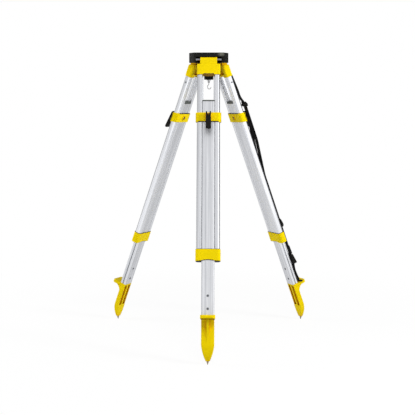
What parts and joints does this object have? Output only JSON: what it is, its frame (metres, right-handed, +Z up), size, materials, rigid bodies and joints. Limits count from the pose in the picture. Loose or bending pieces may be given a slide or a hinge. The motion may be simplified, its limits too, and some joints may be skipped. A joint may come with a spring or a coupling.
{
  "type": "surveying tripod",
  "caption": "Surveying tripod: flat three-sided head with a fixing screw, twin-rail telescopic legs with lever clamps, stepped feet with points, and a carrying strap on one leg.",
  "frame": {"origin": "centre of the head's top face, on the fixing screw's axis", "axes": "+Z up along the fixing screw, square to the head's top face; -Y towards the front leg; +X to the side of the leg that carries the strap"},
  "size_m": [0.8052, 0.7001, 1.0975],
  "materials": {
    "black_casting": "black paint on cast aluminium, satin",
    "yellow_casting": "yellow paint on cast aluminium, semi-gloss",
    "yellow_plastic": "yellow moulded plastic, semi-gloss",
    "aluminium": "extruded, satin anodised",
    "steel": "zinc plated",
    "black_plastic": "moulded, satin",
    "webbing": "woven nylon"
  },
  "bodies": {
    "head": {"head_plate": "black_casting", "hinge_pins": "steel"},
    "screw_carrier": {"guide_bush": "steel", "bush_circlip": "steel"},
    "screw": {"fixing_screw": "steel", "fixing_knob": "black_plastic", "hook_clevis": "steel"},
    "hook": {"plumb_hook": "steel"},
    "front_leg": {"front_leg_bracket": "yellow_casting", "front_leg_rail_left": "aluminium", "front_leg_rail_right": "aluminium", "front_leg_rail_screws": "steel", "front_leg_rail_plugs": "black_plastic", "front_leg_lower_collar": "yellow_plastic"},
    "front_tube": {"front_leg_inner_tube": "aluminium", "front_leg_tube_plug": "black_plastic", "front_leg_clamp_yoke": "yellow_plastic", "front_leg_clamp_front": "yellow_plastic", "front_leg_clamp_bolt": "steel", "front_leg_foot": "yellow_casting", "front_leg_foot_point": "steel", "front_leg_foot_rivets": "steel"},
    "front_lever": {"front_leg_clamp_lever": "black_plastic"},
    "right_leg": {"right_leg_bracket": "yellow_casting", "right_leg_rail_left": "aluminium", "right_leg_rail_right": "aluminium", "right_leg_rail_screws": "steel", "right_leg_rail_plugs": "black_plastic", "right_leg_lower_collar": "yellow_plastic", "strap_upper": "webbing", "strap_anchors": "black_plastic"},
    "right_tube": {"right_leg_inner_tube": "aluminium", "right_leg_tube_plug": "black_plastic", "right_leg_clamp_yoke": "yellow_plastic", "right_leg_clamp_front": "yellow_plastic", "right_leg_clamp_bolt": "steel", "right_leg_foot": "yellow_casting", "right_leg_foot_point": "steel", "right_leg_foot_rivets": "steel", "strap_lower": "webbing", "strap_slider": "black_plastic", "strap_keeper": "black_plastic", "strap_buckle": "black_plastic", "strap_tab": "webbing"},
    "right_lever": {"right_leg_clamp_lever": "black_plastic"},
    "left_leg": {"left_leg_bracket": "yellow_casting", "left_leg_rail_left": "aluminium", "left_leg_rail_right": "aluminium", "left_leg_rail_screws": "steel", "left_leg_rail_plugs": "black_plastic", "left_leg_lower_collar": "yellow_plastic"},
    "left_tube": {"left_leg_inner_tube": "aluminium", "left_leg_tube_plug": "black_plastic", "left_leg_clamp_yoke": "yellow_plastic", "left_leg_clamp_front": "yellow_plastic", "left_leg_clamp_bolt": "steel", "left_leg_foot": "yellow_casting", "left_leg_foot_point": "steel", "left_leg_foot_rivets": "steel"},
    "left_lever": {"left_leg_clamp_lever": "black_plastic"}
  },
  "joints": [
    {"name": "screw_lift", "type": "slide", "parent": "head", "child": "screw_carrier", "axis": [0, 0, 1], "range_m": [0, 0.0155]},
    {"name": "screw_turn", "type": "hinge", "parent": "screw_carrier", "child": "screw", "pos_m": [0, 0, -0.05], "axis": [0, 0, 1], "continuous": true},
    {"name": "hook_swing", "type": "hinge", "parent": "screw", "child": "hook", "pos_m": [0, 0, -0.109], "axis": [0, 1, 0], "range_deg": [-60, 60]},
    {"name": "front_leg_spread", "type": "hinge", "parent": "head", "child": "front_leg", "pos_m": [0, -0.044, -0.025], "axis": [-1, 0, 0], "range_deg": [-21.5, 13.5]},
    {"name": "front_leg_extend", "type": "slide", "parent": "front_leg", "child": "front_tube", "axis": [0, -0.3665, -0.9304], "range_m": [-0.1, 0.48]},
    {"name": "front_clamp_release", "type": "hinge", "parent": "front_tube", "child": "front_lever", "pos_m": [0, -0.15814, -0.23154], "axis": [-1, 0, 0], "range_deg": [0, 100]},
    {"name": "right_leg_spread", "type": "hinge", "parent": "head", "child": "right_leg", "pos_m": [0.0381, 0.022, -0.025], "axis": [0.5, -0.866, 0], "range_deg": [-21.5, 13.5]},
    {"name": "right_leg_extend", "type": "slide", "parent": "right_leg", "child": "right_tube", "axis": [0.3174, 0.1833, -0.9304], "range_m": [-0.1, 0.48]},
    {"name": "right_clamp_release", "type": "hinge", "parent": "right_tube", "child": "right_lever", "pos_m": [0.13695, 0.07907, -0.23154], "axis": [0.5, -0.866, 0], "range_deg": [0, 100]},
    {"name": "left_leg_spread", "type": "hinge", "parent": "head", "child": "left_leg", "pos_m": [-0.0381, 0.022, -0.025], "axis": [0.5, 0.866, 0], "range_deg": [-21.5, 13.5]},
    {"name": "left_leg_extend", "type": "slide", "parent": "left_leg", "child": "left_tube", "axis": [-0.3174, 0.1833, -0.9304], "range_m": [-0.1, 0.48]},
    {"name": "left_clamp_release", "type": "hinge", "parent": "left_tube", "child": "left_lever", "pos_m": [-0.13695, 0.07907, -0.23154], "axis": [0.5, 0.866, 0], "range_deg": [0, 100]}
  ]
}
